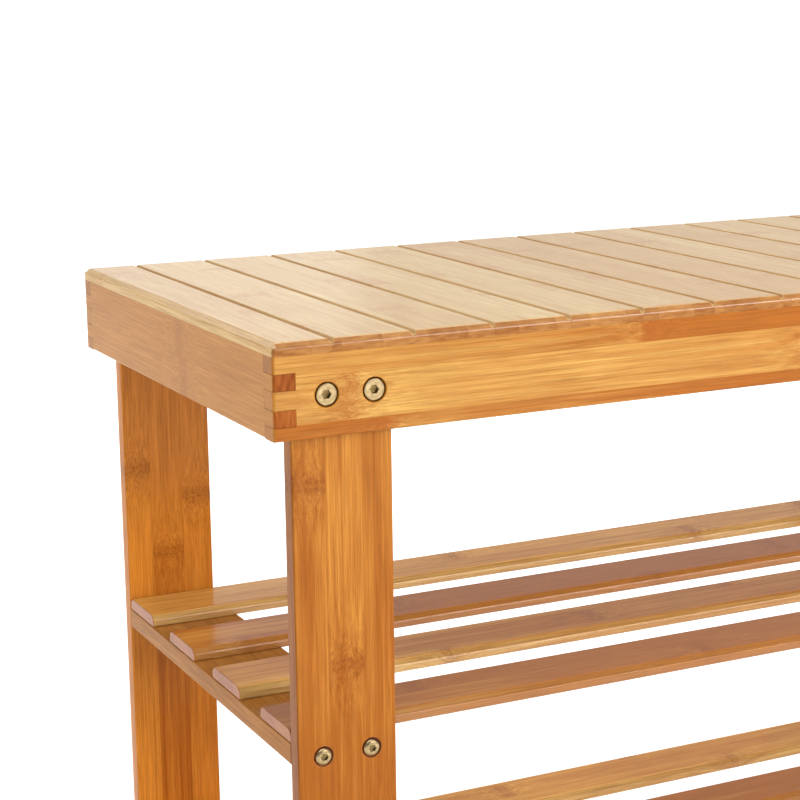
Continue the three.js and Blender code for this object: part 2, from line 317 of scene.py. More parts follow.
def cut(bm, cutters):
    """The solid with each cutter's space taken out of it."""
    body = linked("body", bm)
    tool = linked("tool", merged(cutters))
    modifier = body.modifiers.new("cut", "BOOLEAN")
    modifier.object = tool
    modifier.operation = "DIFFERENCE"
    modifier.solver = "EXACT"
    bpy.context.view_layer.update()
    evaluated = body.evaluated_get(bpy.context.evaluated_depsgraph_get())
    result = bmesh.new()
    result.from_mesh(evaluated.to_mesh())
    evaluated.to_mesh_clear()
    for used in (body, tool):
        mesh = used.data
        bpy.data.objects.remove(used)
        bpy.data.meshes.remove(mesh)
    bmesh.ops.remove_doubles(result, verts=result.verts, dist=MERGE_DISTANCE)
    bmesh.ops.dissolve_degenerate(result, edges=result.edges, dist=MERGE_DISTANCE)
    return result


# -------------------------------- shader graph helpers

class Graph:
    """Short forms for building a node tree."""

    def __init__(self, tree):
        self.tree = tree

    def node(self, kind, **settings):
        made = self.tree.nodes.new(kind)
        for key, value in settings.items():
            setattr(made, key, value)
        return made

    def feed(self, socket, value):
        if isinstance(value, bpy.types.NodeSocket):
            self.tree.links.new(value, socket)
        else:
            socket.default_value = value

    def math(self, operation, first, second=0.0):
        made = self.node("ShaderNodeMath", operation=operation)
        for socket, value in zip(made.inputs, (first, second)):
            self.feed(socket, value)
        return made.outputs[0]

    def add(self, first, second):
        return self.math("ADD", first, second)

    def subtract(self, first, second):
        return self.math("SUBTRACT", first, second)

    def times(self, first, second):
        return self.math("MULTIPLY", first, second)

    def combine(self, x, y, z):
        made = self.node("ShaderNodeCombineXYZ")
        for socket, value in zip(made.inputs, (x, y, z)):
            self.feed(socket, value)
        return made.outputs[0]

    def split(self, vector):
        made = self.node("ShaderNodeSeparateXYZ")
        self.feed(made.inputs[0], vector)
        return made.outputs

    def attribute(self, name, output="Vector"):
        return self.node("ShaderNodeAttribute", attribute_name=name).outputs[output]

    def noise(self, vector, detail=2.0, roughness=0.5):
        made = self.node("ShaderNodeTexNoise")
        self.feed(made.inputs["Vector"], vector)
        self.feed(made.inputs["Scale"], 1.0)
        self.feed(made.inputs["Detail"], detail)
        self.feed(made.inputs["Roughness"], roughness)
        return made.outputs["Fac"]

    def remap(self, value, low, high, to_low=0.0, to_high=1.0, smooth=False):
        made = self.node("ShaderNodeMapRange", clamp=True)
        made.interpolation_type = "SMOOTHSTEP" if smooth else "LINEAR"
        for socket, setting in zip(made.inputs, (value, low, high, to_low, to_high)):
            self.feed(socket, setting)
        return made.outputs[0]

    def mix(self, factor, first, second, blend="MIX", clamp=True):
        """Mixes two colours: inputs 6 and 7 and output 2 are the Mix node's colour sockets."""
        made = self.node("ShaderNodeMix", data_type="RGBA", blend_type=blend, clamp_factor=clamp)
        self.feed(made.inputs[0], factor)
        self.feed(made.inputs[6], first)
        self.feed(made.inputs[7], second)
        return made.outputs[2]


def srgb(red, green, blue):
    """A colour given as it looks on screen, 0 to 255, as linear values."""
    linear = []
    for level in (red, green, blue):
        share = level / 255
        linear.append(((share + 0.055) / 1.055) ** 2.4 if level > 10 else share / 12.92)
    return (*linear, 1.0)


# -------------------------------- bamboo

INTERNODE = 262.0
NODE_BLEND = 5.0
NODE_SWELL_LENGTH = 13.0
RIDGE_DISTANCE = 1.6
GOLDEN_STEP = 0.618
TONE_STEP = 0.1057
SEED_SPREAD = 300.0
SWELL_LIFT = 9.0

# How finely each noise varies along, across and into the board, per millimetre.
FINE_SCALES = (0.028, 1.5, 0.8)
BROAD_SCALES = (0.005, 0.4, 0.3)
FLECK_SCALES = (0.5, 1.3, 1.3)
ARCH_SCALES = (0.09, 0.7, 2.2)

# Each tone is the light and darker flesh and the fibres, then the node bands and the palest and
# darkest cut ends. The rear legs have the tone "shaded": the legs' colours retinted to match how
# the rear legs look in the seat's shade, painted shade.
TONE_SOCKETS = ("Light", "Dark", "Fibre", "Node", "End Light", "End Dark")
TONES = {
    "seat": (
        (198, 170, 116), (186, 150, 98), (164, 116, 68),
        (176, 126, 76), (150, 106, 58), (112, 62, 22),
    ),
    "frame": (
        (163, 122, 60), (135, 77, 20), (116, 60, 12),
        (130, 66, 20), (162, 106, 38), (142, 88, 30),
    ),
    "end": (
        (176, 123, 62), (166, 112, 54), (146, 94, 42),
        (141, 89, 44), (146, 81, 30), (92, 38, 8),
    ),
    "leg": (
        (169, 114, 45), (133, 76, 21), (114, 55, 8),
        (104, 49, 10), (162, 103, 56), (130, 70, 32),
    ),
    "shaded": (
        (170, 102, 33), (140, 72, 17), (116, 55, 8),
        (106, 49, 10), (162, 103, 56), (130, 70, 32),
    ),
    "shelf": (
        (190, 137, 65), (159, 99, 42), (130, 74, 30),
        (130, 72, 30), (158, 92, 30), (132, 68, 16),
    ),
    # The slats' sides, chamfers and undersides: darker and bluer than their tops, painted sheen and
    # shade.
    "slat_front_painted_sheen": (
        (161, 125, 72), (134, 86, 38), (121, 75, 37),
        (121, 73, 37), (158, 92, 30), (132, 68, 16),
    ),
    "rail": (
        (160, 108, 50), (146, 94, 40), (116, 68, 28),
        (120, 72, 32), (150, 96, 56), (120, 70, 40),
    ),
}

# How strongly the lacquer of each kind of piece reflects.
LACQUER_IOR = {
    "seat": 1.5, "frame": 1.2, "end": 1.15, "leg": 1.17, "shaded": 1.17, "shelf": 1.32, "rail": 1.12,
}

# The seat and the slats look different round their edges: the tone and the lacquer there, and how
# upright a face has to be to count as an edge (the z of its normal lies below this). The slats'
# edge tone is darker and bluer than their tops: painted sheen and shade for how light falls there.
EDGE_LOOKS = {
    "seat": {"tone": "seat", "ior": 1.18, "upright": 0.3},
    "shelf": {"tone": "slat_front_painted_sheen", "ior": 1.38, "upright": 0.9},
}


def strip_layout(g, across):
    """The glued strip a point is in: its number, the share of its width, its first node's place."""
    strips = g.node("ShaderNodeAttribute", attribute_name="strips").outputs
    width, phase, stagger = g.split(strips["Vector"])
    bend = strips["Alpha"]
    place = g.math("DIVIDE", across, width)
    number = g.math("FLOOR", place)
    step = g.add(stagger, g.times(number, bend))
    return number, g.math("FRACT", place), g.add(phase, g.times(number, step))


def internode_tone(g, counted, signed, strip_seed):
    """Each length of cane between two nodes has its own tone, -0.5 to 0.5."""
    number = g.math("FLOOR", counted)
    offset = g.times(strip_seed, TONE_STEP)
    tones = []
    for step in (0.0, 1.0):
        tones.append(g.math("FRACT", g.add(offset, g.times(g.add(number, step), GOLDEN_STEP))))
    share = g.remap(signed, -NODE_BLEND, NODE_BLEND, smooth=True)
    return g.subtract(g.add(g.times(g.subtract(tones[1], tones[0]), share), tones[0]), 0.5)


def node_fields(g, along, across, strip_seed, phase):
    """The cane's nodes, one across each strip every internode.

    Returns how near a point is to one, its two dark ridges, its core and the internode's tone.
    """
    wander = g.noise(g.combine(strip_seed, g.times(across, 0.3), 0.0), 3.0, 0.6)
    shifted = g.add(along, g.times(g.subtract(wander, 0.5), 7.0))
    counted = g.subtract(g.math("DIVIDE", shifted, INTERNODE), phase)
    signed = g.times(g.subtract(g.math("FRACT", counted), 0.5), INTERNODE)
    distance = g.math("ABSOLUTE", signed)
    near = g.math("EXPONENT", g.times(distance, -1 / NODE_SWELL_LENGTH))
    ridge = g.remap(g.math("ABSOLUTE", g.subtract(distance, RIDGE_DISTANCE)), 1.9, 0.2, smooth=True)
    core = g.remap(distance, 8.0, 2.0, smooth=True)
    return near, ridge, core, internode_tone(g, counted, signed, strip_seed)


def fibre_noise(g, place, scales, detail=2.0, roughness=0.5):
    """Noise stretched by its own scale along, across and into the board."""
    scaled = [g.times(value, scale) for value, scale in zip(place, scales)]
    return g.noise(g.combine(*scaled), detail, roughness)


def flesh_colour(g, given, fine, body):
    """The flesh between light and dark, with darker fibres and fine shading."""
    lightness = g.remap(body, -0.1, 0.85, -0.4, 1.025)
    colour = g.mix(lightness, given["Light"], given["Dark"], clamp=False)
    streak = g.remap(fine, 0.42, 0.68)
    colour = g.mix(g.times(streak, 0.42), colour, given["Fibre"])
    shade = g.remap(fine, 0.3, 0.7, 1.16, 0.84)
    return g.mix(1.0, colour, g.combine(shade, shade, shade), "MULTIPLY"), streak


def node_colour(g, given, colour, place, near, ridge, core):
    """Adds the nodes' arched fibres, broken ridges and smudges; also returns the ridges."""
    flecks = fibre_noise(g, place, FLECK_SCALES, 2.0, 0.7)
    arches = fibre_noise(g, place, ARCH_SCALES, 2.0, 0.6)
    arch = g.times(g.remap(near, 0.12, 0.6), g.remap(arches, 0.47, 0.62))
    band = g.times(ridge, g.remap(flecks, 0.38, 0.62))
    smudge = g.times(core, g.remap(flecks, 0.3, 0.75))
    for mark, strength in ((arch, 0.38), (band, 0.42), (smudge, 0.5)):
        colour = g.mix(g.times(mark, strength), colour, given["Node"])
    return colour, band


def end_colour(g, given, seed, across, depth, strip_tone, contrast):
    """The cut ends: strips of different tone, mottled by the fibre bundles."""
    mottle = g.noise(g.combine(seed, g.times(across, 0.12), g.times(depth, 0.6)), 3.0, 0.6)
    from_strip = g.times(g.times(strip_tone, contrast), 1.3)
    end_tone = g.add(from_strip, g.remap(mottle, 0.3, 0.7, 0.15, 0.85))
    return g.mix(g.remap(end_tone, 0.0, 1.0), given["End Light"], given["End Dark"])


def group_tree():
    """An empty node group with the bamboo's inputs and outputs."""
    tree = bpy.data.node_groups.new("laminated_bamboo", "ShaderNodeTree")
    for name in TONE_SOCKETS:
        tree.interface.new_socket(name, in_out="INPUT", socket_type="NodeSocketColor")
    tree.interface.new_socket("Colour", in_out="OUTPUT", socket_type="NodeSocketColor")
    for name in ("Roughness", "Height"):
        tree.interface.new_socket(name, in_out="OUTPUT", socket_type="NodeSocketFloat")
    return tree


def bamboo_group():
    """Colour, roughness and height of laminated bamboo from a piece's attributes, in millimetres."""
    tree = group_tree()
    g = Graph(tree)
    given = g.node("NodeGroupInput").outputs
    along, across, depth = g.split(g.attribute("grain"))
    seed, tone, contrast = g.split(g.attribute("piece"))
    cut_share = g.attribute("cut", "Fac")

    strip, share, phase = strip_layout(g, across)
    strip_draw = g.math("FRACT", g.add(seed, g.times(strip, GOLDEN_STEP)))
    strip_seed = g.times(strip_draw, SEED_SPREAD)
    strip_tone = g.subtract(g.math("DIVIDE", strip_seed, SEED_SPREAD), 0.5)
    near, ridge, core, length_tone = node_fields(g, along, across, strip_seed, phase)

    # Fibres part round a node, and the swelling there lifts deeper layers, which the flat face
    # cuts into arches.
    hump = g.times(g.times(share, g.subtract(1.0, share)), 4.0)
    swell = g.times(near, g.add(0.35, g.times(hump, 0.65)))
    shifted = g.add(across, strip_seed)
    place = (along, shifted, g.add(depth, g.times(swell, SWELL_LIFT)))
    fine = fibre_noise(g, place, FINE_SCALES, 4.0, 0.74)
    broad = fibre_noise(g, place, BROAD_SCALES, 3.0)
    cloud = g.noise(g.combine(g.times(along, 0.014), g.times(shifted, 0.06), seed), 2.0)

    glued = g.add(strip_tone, g.times(length_tone, 0.9))
    body = g.add(g.times(g.subtract(broad, 0.5), 1.1), g.times(glued, contrast))
    body = g.add(body, g.times(g.subtract(cloud, 0.5), 0.7))
    body = g.add(g.add(body, tone), 0.5)
    colour, streak = flesh_colour(g, given, fine, body)
    colour, band = node_colour(g, given, colour, place, near, ridge, core)

    # The glue line between two strips, and the darker cut ends.
    edge = g.math("MINIMUM", share, g.subtract(1.0, share))
    seam = g.remap(edge, 0.014, 0.004)
    colour = g.mix(g.times(seam, 0.3), colour, given["Fibre"])
    ends = end_colour(g, given, seed, shifted, depth, strip_tone, contrast)
    colour = g.mix(cut_share, colour, ends)

    roughness = g.add(0.15, g.times(streak, 0.09))
    roughness = g.add(roughness, g.times(cut_share, 0.05))
    height = g.subtract(g.times(fine, -0.8), g.times(band, 0.4))
    height = g.subtract(height, g.times(seam, 0.5))
    result = g.node("NodeGroupOutput").inputs
    g.feed(result["Colour"], colour)
    g.feed(result["Roughness"], roughness)
    g.feed(result["Height"], height)
    return tree


def new_material(name):
    """A material, its graph and its shader's inputs."""
    material = bpy.data.materials.new(name)
    material.use_nodes = True
    tree = material.node_tree
    return material, Graph(tree), tree.nodes["Principled BSDF"].inputs


def add_bump(g, shader, height, strength, distance):
    """Bump on a shader, with its distance in millimetres."""
    bump = g.node("ShaderNodeBump")
    g.feed(bump.inputs["Strength"], strength)
    g.feed(bump.inputs["Distance"], distance * MM)
    g.feed(bump.inputs["Height"], height)
    g.feed(shader["Normal"], bump.outputs["Normal"])


def bamboo_material(tone_name, group, ior, suffix=""):
    """Lacquered bamboo in one of the tones."""
    material, g, shader = new_material(f"bamboo_{tone_name}{suffix}")
    wood = g.node("ShaderNodeGroup", node_tree=group)
    for name, colour in zip(TONE_SOCKETS, TONES[tone_name]):
        g.feed(wood.inputs[name], srgb(*colour))
    g.feed(shader["Base Color"], wood.outputs["Colour"])
    g.feed(shader["Roughness"], wood.outputs["Roughness"])
    g.feed(shader["IOR"], ior)
    add_bump(g, shader, wood.outputs["Height"], 0.35, 0.12)
    return material


def zinc_material():
    """Yellow-passivated zinc on turned steel: faint turning marks, a mottled film and painted shade
    deep in the socket.
    """
    material, g, shader = new_material("yellow_zinc")
    radius, angle, depth = g.split(g.attribute("grain"))
    film = g.noise(g.combine(g.times(radius, 0.7), g.times(angle, 1.3), depth), 3.0)
    rings = g.noise(g.combine(g.times(radius, 9.0), g.times(angle, 0.25), depth), 2.0)
    colour = g.mix(g.remap(film, 0.35, 0.65), srgb(172, 148, 113), srgb(138, 120, 82))
    # Painted shade: inside the hexagon socket the colour darkens with depth.
    socket_shade_depth = g.remap(g.math("ABSOLUTE", depth), 0.3, 2.0)
    socket_shade = g.times(socket_shade_depth, g.remap(radius, 3.2, 2.8))
    colour = g.mix(socket_shade, colour, srgb(122, 100, 60))
    g.feed(shader["Base Color"], colour)
    g.feed(shader["Roughness"], g.remap(film, 0.3, 0.7, 0.26, 0.42))
    g.feed(shader["Metallic"], 1.0)
    add_bump(g, shader, rings, 0.25, 0.05)
    return material


# -------------------------------- pieces

GROUP = bamboo_group()
MATERIALS = {name: bamboo_material(name, GROUP, ior) for name, ior in LACQUER_IOR.items()}
EDGE_MATERIALS = {
    name: bamboo_material(look["tone"], GROUP, look["ior"], "_edge")
    for name, look in EDGE_LOOKS.items()
}
MATERIALS["zinc"] = zinc_material()


def write_vectors(mesh, name, values):
    """Stores one vector per vertex."""
    attribute = mesh.attributes.new(name, "FLOAT_VECTOR", "POINT")
    attribute.data.foreach_set("vector", [c for value in values for c in value])


def finished(name, bm, material, node):
    """Links a solid as a piece of the bench: smooth shading, material and body."""
    piece = linked(name, bm)
    mesh = piece.data
    mesh.polygons.foreach_set("use_smooth", [True] * len(mesh.polygons))
    mesh.set_sharp_from_angle(angle=math.radians(SHARP_ANGLE))
    modifier = piece.modifiers.new("weighted_normals", "WEIGHTED_NORMAL")
    modifier.keep_sharp = True
    modifier.weight = 100
    mesh.materials.append(MATERIALS[material])
    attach(piece, "root")
    if node:
        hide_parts(node)
    return piece


# The x of a slanted face's normal lies between these.
SLANT_LIMITS = (0.3, 0.95)

# A face's share of the cut ends' colour: its normal along the grain times this gain, less the start.
CUT_GAIN = 1.8
CUT_START = 0.3

# A drilled face lies this far inside its hole, and within this margin of the hole's radius.
BORE_LIP = 0.05
BORE_MARGIN = 0.2

# How deep into the board's grain a seed moves a piece.
SEED_DEPTH = 50


def slanted(face):
    """Whether a face leans along X, as the walls and shoulders of the seat's grooves do."""
    least, most = SLANT_LIMITS
    return least < abs(face.normal.x) < most


def drilled(face, bores):
    """Whether a face lies inside one of the bores."""
    for place, radius in bores:
        offset = (face.center - place) / MM
        inside = math.hypot(offset.x, offset.z) < radius + BORE_MARGIN
        if inside and abs(offset.y) > BORE_LIP:
            return True
    return False


def cut_faces(mesh, along, bores, groove_shade_share):
    """How much of the cut ends' darker colour each face takes, 0 to 1: its cut across the fibres,
    plus painted shade on bore and groove walls.
    """
    shares = []
    for face in mesh.polygons:
        share = min(1.0, max(0.0, abs(face.normal[along]) * CUT_GAIN - CUT_START))
        # Bore walls take the full cut-end colour: painted shade in the hole, beyond their real cut
        # grain.
        if drilled(face, bores):
            share = 1.0
        # Groove walls take a share of it: painted shade in the groove.
        if slanted(face):
            share = max(share, groove_shade_share)
        shares.append(share)
    attribute = mesh.attributes.new("cut", "FLOAT", "FACE")
    attribute.data.foreach_set("value", shares)


def mark_edges(mesh, material, along, grooved):
    """Gives a board's upright faces, chamfered ends and groove walls the edge material."""
    mesh.materials.append(EDGE_MATERIALS[material])
    for face in mesh.polygons:
        is_upright = abs(face.normal.z) < EDGE_LOOKS[material]["upright"]
        chamfered_end = abs(face.normal[along]) > 0.6 and abs(face.normal.z) > 0.6
        groove_wall = grooved and slanted(face)
        if is_upright or chamfered_end or groove_wall:
            face.material_index = 1


def write_grain(mesh, axes, look):
    """Stores what the bamboo shader reads: places in the grain, tints and the strips' layout."""
    along, across, through = axes
    corners = [vertex.co for vertex in mesh.vertices]
    low = Vector([min(corner[i] for corner in corners) for i in range(3)])
    grain, tints = [], []
    for corner in corners:
        local = (corner - low) / MM
        depth = local[through] + SEED_DEPTH * look["seed"]
        grain.append((local[along], local[across] + look["shift"], depth))
        tone = look["tone"] - look["fall"] * local[along] / 100
        tints.append((look["seed"], tone, look["contrast"]))
    write_vectors(mesh, "grain", grain)
    write_vectors(mesh, "piece", tints)
    strips = [look[key] for key in ("width", "phase", "stagger", "bend")]
    layout = mesh.attributes.new("strips", "FLOAT_COLOR", "POINT")
    layout.data.foreach_set("color", strips * len(corners))


def board(name, bm, grain_axes, material, slot, node=None, **given):
    """A bamboo piece. grain_axes are the axes along the grain, across the strips and through it."""
    piece = finished(name, bm, material, node)
    drawn = {"seed": rng.random(), "shift": rng.random() * STRIP_WIDTH, "phase": rng.random()}
    look = {**drawn, **USUAL_LOOK, **given}
    axes = ["xyz".index(axis) for axis in grain_axes]
    write_grain(piece.data, axes, look)
    cut_faces(piece.data, axes[0], look["bores"], look["groove_shade_share"])
    if material in EDGE_LOOKS:
        mark_edges(piece.data, material, axes[0], look["groove_shade_share"] > 0)


def turned(name, bm, centre, node=None):
    """A zinc-plated piece turned about an axis along Y through a centre in metres."""
    piece = finished(name, bm, "zinc", node)
    grain = []
    for vertex in piece.data.vertices:
        offset = (vertex.co - centre) / MM
        grain.append((math.hypot(offset.x, offset.z), math.atan2(offset.z, offset.x), offset.y))
    write_vectors(piece.data, "grain", grain)


def node_box(node):
    """A CAD node's box in millimetres."""
    low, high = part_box(node)
    return low / MM, high / MM


def seat_sections(ring, half_depth, corner=False):
    """Sections of a seat piece along Y: the ring is trimmed by the chamfers at both ends."""
    line = chamfer_line(CHAMFER_INSET, CHAMFER_DROP)
    distances = [x for x, _ in line]
    if corner:
        distances += corner_stations()
    distances = sorted({round(distance, 4) for distance in distances})
    stations = [-half_depth + distance for distance in distances]
    stations += [half_depth - distance for distance in reversed(distances)]
    sections = []
    for y in stations:
        distance = half_depth - abs(y)
        top = HEIGHT + top_limit(distance, line)
        edge = LENGTH / 2 - (corner_inset(distance) if corner else 0.0)
        sections.append((y, [(max(-edge, min(edge, x)), min(z, top)) for x, z in ring]))
    return sections


def plank_ring(low_x, high_x):
    """A plank's section: half a groove at each edge."""
    under, floor = HEIGHT - SEAT_THICKNESS, HEIGHT - GROOVE_DEPTH
    crown = [
        (high_x - GROOVE_FLOOR_HALF, floor),
        (high_x - GROOVE_HALF, HEIGHT),
        (low_x + GROOVE_HALF, HEIGHT),
        (low_x + GROOVE_FLOOR_HALF, floor),
    ]
    lower = [(low_x, under), (high_x, under), (high_x, floor)]
    return [*lower, *softened(crown, GROOVE_SHOULDER, 3), (low_x, floor)]


def end_strip_ring(side):
    """The seat's end strip: a chamfer on the outside and half a groove on the inside."""
    outer, inner = -LENGTH / 2, node_box("end_apron_left")[1].x
    under, floor, top = HEIGHT - SEAT_THICKNESS, HEIGHT - GROOVE_DEPTH, HEIGHT
    line = [(outer + x, top + z) for x, z in chamfer_line(CHAMFER_INSET, CHAMFER_DROP)]
    middle = (outer + inner) / 2
    slope = [(middle, top), (inner - GROOVE_HALF, top), (inner - GROOVE_FLOOR_HALF, floor)]
    shoulder = softened(slope, GROOVE_SHOULDER, 3)[1:]
    ring = [(outer, under), *line, *shoulder, (inner, floor), (inner, under)]
    return ring if side < 0 else [(-x, z) for x, z in reversed(ring)]


def make_seat():
    """The planks and the two end strips."""
    for i in range(1, PLANK_COUNT + 1):
        node = f"seat_plank_{i:02d}"
        name = node.replace("seat_plank", "plank")
        low, high = node_box(node)
        bm = loft("y", seat_sections(plank_ring(low.x, high.x), DEPTH / 2))
        if i <= len(PLANK_LOOKS):
            shift, seed, tone = PLANK_LOOKS[i - 1]
        else:
            shift, seed, tone = rng.uniform(0, STRIP_WIDTH), rng.random(), rng.uniform(-0.1, 0.5)
        look = {"shift": shift, "seed": seed, "tone": tone, **PLANK_LOOK}
        board(name, bm, "yxz", "seat", "seat_bamboo", node, **look)
    for end, side in (("left", -1), ("right", 1)):
        node = f"end_apron_{end}"
        bm = loft("y", seat_sections(end_strip_ring(side), DEPTH / 2, corner=True))
        board(f"end_strip_{end}", bm, "yxz", "seat", "seat_bamboo", node, **END_STRIP_LOOK)


def finger_tops():
    """Heights of the upper sides of the box joint's fingers."""
    first = HEIGHT - SEAT_THICKNESS - FIRST_FINGER_DROP
    return [first - i * FINGER_PITCH for i in range(FINGER_COUNT)]


def fingered_ring(half, notch, outward):
    """A board's outline with notches (outward False) or fingers (outward True) at each end."""
    top = HEIGHT - SEAT_THICKNESS - JOINT_GAP
    bottom = HEIGHT - SEAT_THICKNESS - APRON_HEIGHT
    gap = -FINGER_GAP if outward else FINGER_GAP
    reach, rest = (half, half - notch) if outward else (half - notch, half)
    side = [(rest, top)]
    for finger_top in finger_tops():
        high, low = finger_top + gap, finger_top - FINGER_HEIGHT - gap
        side += [(rest, high), (reach, high), (reach, low), (rest, low)]
    side.append((rest, bottom))
    return side + [(-a, b) for a, b in reversed(side)]


def apron_sections(ring, half, sign):
    """Sections through an apron's thickness, from its outer face inward, with eased edges."""
    bottom = HEIGHT - SEAT_THICKNESS - APRON_HEIGHT
    outer_edges = corner_stations() + corner_stations(LOWER_EDGE)
    distances = sorted({round(distance, 4) for distance in outer_edges})
    distances += [APRON_THICKNESS - INNER_EDGE, APRON_THICKNESS]
    sections = []
    for distance in distances:
        limit = half - corner_inset(distance)
        lift = corner_inset(distance, LOWER_EDGE)
        if distance == APRON_THICKNESS:
            lift = INNER_EDGE
        trimmed = [(max(-limit, min(limit, a)), max(b, bottom + lift)) for a, b in ring]
        sections.append((sign * distance, trimmed))
    return sections


def bore(radius, depth, shank, reach):
    """A cutter for a counterbore with a chamfered mouth at y = 0, and the hole behind it."""
    mouth = radius + BORE_MOUTH
    return lathe([
        (0, -HOLE_OVERRUN), (mouth, -HOLE_OVERRUN), (mouth, 0), (radius, BORE_MOUTH),
        (radius, depth), (shank, depth), (shank, reach), (0, reach),
    ])


def bolt_places(prefix, face):
    """Centres of the bolts' heads on one face, in metres, with y at the head's outer side."""
    places = {}
    for node in sorted(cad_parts):
        if node.startswith(prefix) and f"_{face}_" in node:
            low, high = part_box(node)
            middle = (low + high) / 2
            middle.y = low.y if face == "front" else high.y
            places[node] = middle
    return places


def apron_solid(axis, half, outer, sign, outward):
    """An apron before drilling, half its length to each side, its outer face at outer."""
    ring = fingered_ring(half, APRON_THICKNESS + FINGER_GAP, outward)
    sections = apron_sections(ring, half, -sign)
    return loft(axis, [(outer + station, section) for station, section in sections])


def apron_bores(face, outer, sign):
    """Cutters and bore places for the bolts that sit in one long apron."""
    cutters, bores = [], []
    for place in bolt_places("seat_bolt", face).values():
        mouth = Vector((place.x, outer * MM, place.z))
        reach = APRON_THICKNESS + HOLE_OVERRUN
        cutter = bore(SEAT_BORE, SEAT_BORE_DEPTH, SEAT_SHANK_HOLE, reach)
        cutters.append(moved(cutter, mouth, sign > 0))
        bores.append((mouth, SEAT_BORE))
    return cutters, bores


def make_aprons():
    """The front and rear aprons, drilled for the seat bolts, and the two end aprons."""
    for face, sign in (("front", -1), ("rear", 1)):
        outer = sign * DEPTH / 2
        cutters, bores = apron_bores(face, outer, sign)
        bm = cut(apron_solid("y", LENGTH / 2, outer, sign, outward=False), cutters)
        look = {"bores": bores, **LONG_APRON_LOOK}
        board(f"long_apron_{face}", bm, "xzy", "frame", "frame_bamboo", f"apron_{face}", **look)
    for end, sign in (("left", -1), ("right", 1)):
        bm = apron_solid("x", DEPTH / 2, sign * LENGTH / 2, sign, outward=True)
        board(f"end_board_{end}", bm, "yzx", "end", "frame_bamboo", **END_BOARD_LOOK)


def inset_ring(ring, by):
    """The ring drawn in towards its middle, by the same distance both ways."""
    middle = Vector([sum(point[i] for point in ring) / len(ring) for i in range(2)])
    half = [max(abs(point[i] - middle[i]) for point in ring) for i in range(2)]
    return [
        tuple(middle[i] + (point[i] - middle[i]) * (half[i] - by) / half[i] for i in range(2))
        for point in ring
    ]


def eased_ends(ring, start, end, ease):
    """Sections of a straight bar whose ends are slightly chamfered all round."""
    tip = inset_ring(ring, ease)
    return [(start, tip), (start + ease, ring), (end - ease, ring), (end, tip)]


def leg_bores(low, high, face, outer, sign):
    """Cutters and bore places for the bolts that pass through one leg."""
    cutters, bores = [], []
    insert_hole = INSERT_RADIUS + INSERT_FIT
    sizes = (
        ("seat_bolt", insert_hole, PLAIN_HOLE_DEPTH, insert_hole),
        ("shelf_bolt", SHELF_BORE, SHELF_BORE_DEPTH, SHELF_SHANK_HOLE),
    )
    for prefix, radius, depth, shank in sizes:
        for place in bolt_places(prefix, face).values():
            if low.x < place.x / MM < high.x:
                mouth = Vector((place.x, outer * MM, place.z))
                cutters.append(moved(bore(radius, depth, shank, LEG_HOLE_REACH), mouth, sign > 0))
                bores.append((mouth, radius))
    return cutters, bores


def make_legs():
    """The four legs, drilled for their bolts."""
    for face, sign in (("front", -1), ("rear", 1)):
        for end in ("left", "right"):
            node = f"leg_{face}_{end}"
            low, high = node_box(node)
            outline = [(low.x, low.y), (high.x, low.y), (high.x, high.y), (low.x, high.y)]
            ring = softened(outline, LEG_EDGE, 4, closed=True)
            outer = low.y if sign < 0 else high.y
            cutters, bores = leg_bores(low, high, face, outer, sign)
            bm = cut(loft("z", eased_ends(ring, low.z, high.z, FOOT_EASE)), cutters)
            material = "leg" if face == "front" else "shaded"
            look = {"bores": bores, **LEG_LOOK, **LEG_LOOKS[node]}
            board(f"{node}_board", bm, "zxy", material, "leg_bamboo", node, **look)


def slat_ring(low, high):
    """A shelf slat's section in Y and Z: chamfered top edges, eased lower edges."""
    line = chamfer_line(SLAT_CHAMFER_INSET, SLAT_CHAMFER_DROP)
    front = [(low.y + a, high.z + b) for a, b in line]
    rear = [(high.y - a, high.z + b) for a, b in reversed(line)]
    side = high.z - SLAT_SIDE_DROP
    under = [(high.y, side), (high.y, low.z), (low.y, low.z), (low.y, side)]
    return front + rear + softened(under, SLAT_LOWER_EDGE, 3)[1:-1]


def upright(bm, place):
    """A solid made about Y, stood on end so that its y = 0 side looks down, at a place in metres."""
    bm.transform(Matrix.Translation(place) @ Matrix.Rotation(math.pi / 2, 4, "X"))
    return bm


def screw_places(rail_node, level):
    """Where the slats' screws enter a rail from below, in metres."""
    low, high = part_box(rail_node)
    middle = (low.x + high.x) / 2
    places = []
    for i in range(1, SLAT_COUNT + 1):
        slat_low, slat_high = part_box(f"shelf_slat_{level}_{i}")
        places.append(Vector((middle, (slat_low.y + slat_high.y) / 2, low.z)))
    return places


def screw_sinks(rail_node, level):
    """Cutters for the countersunk holes under a rail."""
    mouth, shank, cone, reach = SCREW_RADIUS + 0.4, 1.7, 2.2, 9
    profile = [(0, -1), (mouth, -1), (mouth, 0), (shank, cone), (shank, reach), (0, reach)]
    return [upright(lathe(profile), place) for place in screw_places(rail_node, level)]


